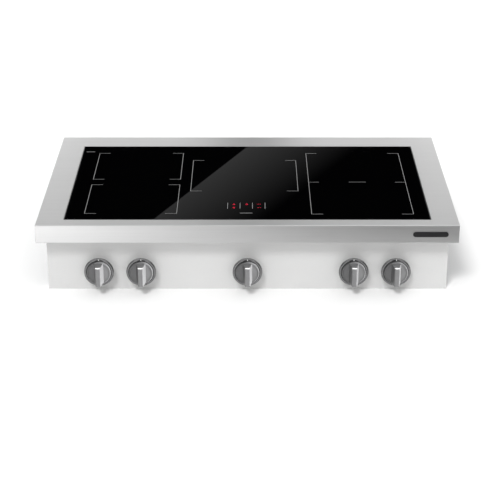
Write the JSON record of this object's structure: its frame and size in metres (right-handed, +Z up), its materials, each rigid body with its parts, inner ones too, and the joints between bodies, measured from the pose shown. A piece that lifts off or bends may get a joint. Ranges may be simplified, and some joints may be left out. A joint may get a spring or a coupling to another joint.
{
  "type": "electric induction cooktop",
  "caption": "Built-in induction cooktop with a flush black glass panel, a folded stainless top with a deep apron, and turning control knobs for the cabinet's front board.",
  "frame": {"origin": "middle of the width, on the cabinet's front plane, at the cabinet's top edge, where the apron's return flange rests", "axes": "+X to the right along the width, +Y to the back, +Z up out of the glass"},
  "size_m": [1, 0.6385, 0.181],
  "materials": {
    "stainless": "brushed along the width",
    "glass_ceramic": "polished, opaque black",
    "silicone": "matt",
    "badge": "satin black",
    "galvanised": "zinc coated, fine spangle",
    "aluminium": "mill finish",
    "copper": "enamelled copper wire",
    "coil_plastic": "moulded",
    "mica": "mica sheet",
    "sensor_rubber": "silicone cap",
    "circuit_board": "green solder mask",
    "black_plastic": "moulded, fine texture",
    "grey_plastic": "moulded",
    "display_red": "dark red light box",
    "knob_metal": "satin metal",
    "bezel_metal": "fine turned, polished",
    "spindle_steel": "turned",
    "carrier_paint": "fine pale powder coat"
  },
  "bodies": {
    "root": {"top_frame": "stainless", "glass_panel": "glass_ceramic", "glass_seal": "silicone", "badge_plate": "badge", "sub_frame": "galvanised", "side_bracket_left": "galvanised", "side_bracket_right": "galvanised", "casing_tray": "galvanised", "coil_plate": "aluminium", "insulation_sheet": "mica", "power_board_left": "circuit_board", "power_board_right": "circuit_board", "heat_sink_left": "aluminium", "heat_sink_right": "aluminium", "fan_housing_left": "black_plastic", "fan_housing_right": "black_plastic", "terminal_cover": "black_plastic", "terminal_block": "grey_plastic", "cable_gland": "black_plastic", "control_board": "circuit_board", "display_module": "display_red", "control_carrier": "carrier_paint", "wiring_loom": "black_plastic", "coil_base_rear_left": "coil_plastic", "winding_rear_left": "copper", "sensor_rear_left": "sensor_rubber", "coil_base_front_left": "coil_plastic", "winding_front_left": "copper", "sensor_front_left": "sensor_rubber", "coil_base_centre": "coil_plastic", "winding_centre": "copper", "sensor_centre": "sensor_rubber", "coil_base_rear_right": "coil_plastic", "winding_rear_right": "copper", "sensor_rear_right": "sensor_rubber", "coil_base_front_right": "coil_plastic", "winding_front_right": "copper", "sensor_front_right": "sensor_rubber", "bezel_1": "bezel_metal", "encoder_1": "grey_plastic", "bezel_2": "bezel_metal", "encoder_2": "grey_plastic", "bezel_3": "bezel_metal", "encoder_3": "grey_plastic", "bezel_4": "bezel_metal", "encoder_4": "grey_plastic", "bezel_5": "bezel_metal", "encoder_5": "grey_plastic"},
    "rotor_left": {"fan_impeller_left": "grey_plastic"},
    "rotor_right": {"fan_impeller_right": "grey_plastic"},
    "dial_1": {"knob_1": "knob_metal", "spindle_1": "spindle_steel"},
    "dial_2": {"knob_2": "knob_metal", "spindle_2": "spindle_steel"},
    "dial_3": {"knob_3": "knob_metal", "spindle_3": "spindle_steel"},
    "dial_4": {"knob_4": "knob_metal", "spindle_4": "spindle_steel"},
    "dial_5": {"knob_5": "knob_metal", "spindle_5": "spindle_steel"}
  },
  "joints": [
    {"name": "knob_1_turn", "type": "hinge", "parent": "root", "child": "dial_1", "pos_m": [-0.355, 0, -0.082], "axis": [0, 1, 0], "range_deg": [0, 270]},
    {"name": "knob_2_turn", "type": "hinge", "parent": "root", "child": "dial_2", "pos_m": [-0.254, 0, -0.082], "axis": [0, 1, 0], "range_deg": [0, 270]},
    {"name": "knob_3_turn", "type": "hinge", "parent": "root", "child": "dial_3", "pos_m": [0, 0, -0.082], "axis": [0, 1, 0], "range_deg": [0, 270]},
    {"name": "knob_4_turn", "type": "hinge", "parent": "root", "child": "dial_4", "pos_m": [0.254, 0, -0.082], "axis": [0, 1, 0], "range_deg": [0, 270]},
    {"name": "knob_5_turn", "type": "hinge", "parent": "root", "child": "dial_5", "pos_m": [0.355, 0, -0.082], "axis": [0, 1, 0], "range_deg": [0, 270]},
    {"name": "fan_left_spin", "type": "hinge", "parent": "root", "child": "rotor_left", "pos_m": [-0.215, 0.44, 0], "axis": [0, 0, 1], "continuous": true},
    {"name": "fan_right_spin", "type": "hinge", "parent": "root", "child": "rotor_right", "pos_m": [0.215, 0.44, 0], "axis": [0, 0, 1], "continuous": true}
  ]
}
